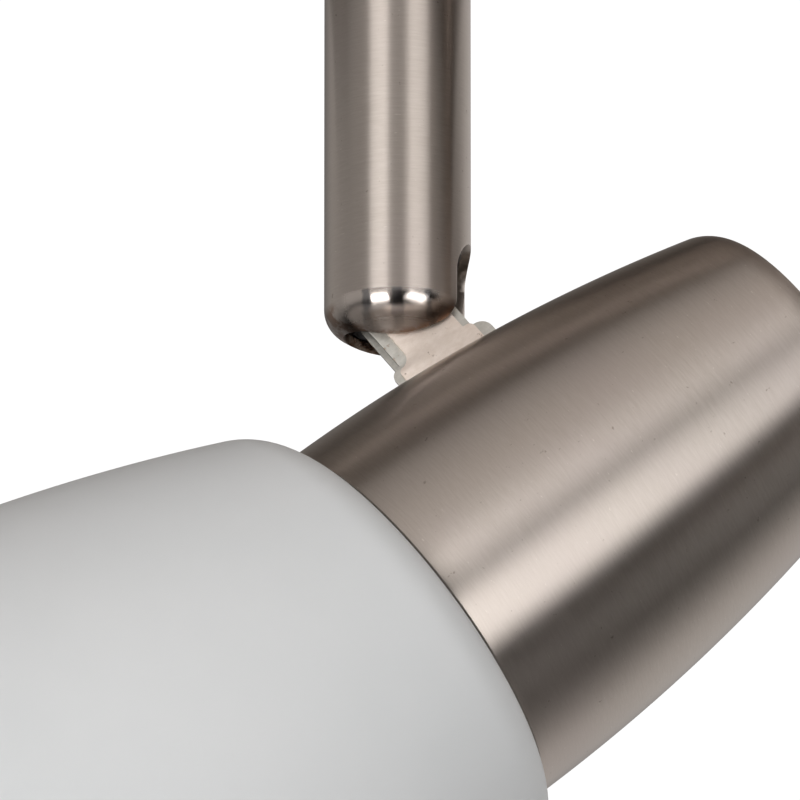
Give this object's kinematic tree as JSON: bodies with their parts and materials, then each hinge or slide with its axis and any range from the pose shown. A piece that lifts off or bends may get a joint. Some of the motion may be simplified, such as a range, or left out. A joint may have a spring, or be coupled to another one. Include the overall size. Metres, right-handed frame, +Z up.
{
  "type": "track lighting fixture",
  "caption": "Ceiling rail light: spot heads with flared opal glass shades tilt and swivel on short stems under a channel fixed to a ceiling strap.",
  "frame": {"origin": "centre of the ceiling strap's top face, midway between its two fixing holes", "axes": "+Z up into the ceiling, +X along the rail, +Y across it"},
  "size_m": [0.3478, 0.1136, 0.1828],
  "materials": {
    "satin_nickel": "satin brushed nickel plate",
    "bright_nickel": "bright nickel plate",
    "zinc_steel": "zinc plate",
    "brass": "plain",
    "black_plastic": "matt thermoset",
    "white_plastic": "semi-gloss",
    "wire_sleeve": "silicone sleeve",
    "opal_glass": "acid-etched opal",
    "lamp_glass": "opal lamp glass"
  },
  "bodies": {
    "rail_body": {"rail": "satin_nickel", "end_cap_left": "satin_nickel", "end_cap_right": "satin_nickel", "ceiling_strap": "zinc_steel", "strap_studs": "zinc_steel", "cap_nuts": "satin_nickel", "terminal_block": "white_plastic", "terminal_screws": "zinc_steel", "block_screw": "zinc_steel", "earth_screw": "brass", "rail_lead_1": "wire_sleeve", "stop_rivet_1": "zinc_steel", "rail_lead_2": "wire_sleeve", "stop_rivet_2": "zinc_steel"},
    "stem_body_1": {"stem_tube_1": "satin_nickel", "stem_plug_1": "zinc_steel", "stem_nipple_1": "zinc_steel", "stop_washer_1": "zinc_steel", "stem_nut_1": "zinc_steel", "joint_insert_1": "zinc_steel", "pivot_pins_1": "zinc_steel", "stem_lead_1": "wire_sleeve"},
    "head_body_1": {"bracket_1": "bright_nickel", "bracket_screws_1": "zinc_steel", "housing_1": "satin_nickel", "holder_strap_1": "zinc_steel", "lamp_holder_1": "black_plastic", "holder_contacts_1": "brass", "holder_nipple_1": "zinc_steel", "holder_nut_1": "zinc_steel", "shade_ring_1": "white_plastic", "glass_shade_1": "opal_glass", "lamp_cap_1": "zinc_steel", "lamp_bulb_1": "lamp_glass", "head_lead_1": "wire_sleeve"},
    "stem_body_2": {"stem_tube_2": "satin_nickel", "stem_plug_2": "zinc_steel", "stem_nipple_2": "zinc_steel", "stop_washer_2": "zinc_steel", "stem_nut_2": "zinc_steel", "joint_insert_2": "zinc_steel", "pivot_pins_2": "zinc_steel", "stem_lead_2": "wire_sleeve"},
    "head_body_2": {"bracket_2": "bright_nickel", "bracket_screws_2": "zinc_steel", "housing_2": "satin_nickel", "holder_strap_2": "zinc_steel", "lamp_holder_2": "black_plastic", "holder_contacts_2": "brass", "holder_nipple_2": "zinc_steel", "holder_nut_2": "zinc_steel", "shade_ring_2": "white_plastic", "glass_shade_2": "opal_glass", "lamp_cap_2": "zinc_steel", "lamp_bulb_2": "lamp_glass", "head_lead_2": "wire_sleeve"}
  },
  "joints": [
    {"name": "stem_swivel_1", "type": "hinge", "parent": "rail_body", "child": "stem_body_1", "pos_m": [-0.1, 0, -0.026], "axis": [0, 0, 1], "range_deg": [-160, 160]},
    {"name": "head_tilt_1", "type": "hinge", "parent": "stem_body_1", "child": "head_body_1", "pos_m": [-0.1, 0, -0.0712], "axis": [0, -1, 0], "range_deg": [-23.5, 40]},
    {"name": "stem_swivel_2", "type": "hinge", "parent": "rail_body", "child": "stem_body_2", "pos_m": [0.1, 0, -0.026], "axis": [0, 0, 1], "range_deg": [-160, 160]},
    {"name": "head_tilt_2", "type": "hinge", "parent": "stem_body_2", "child": "head_body_2", "pos_m": [0.1, 0, -0.0712], "axis": [0, 1, 0], "range_deg": [-23.5, 40]}
  ]
}
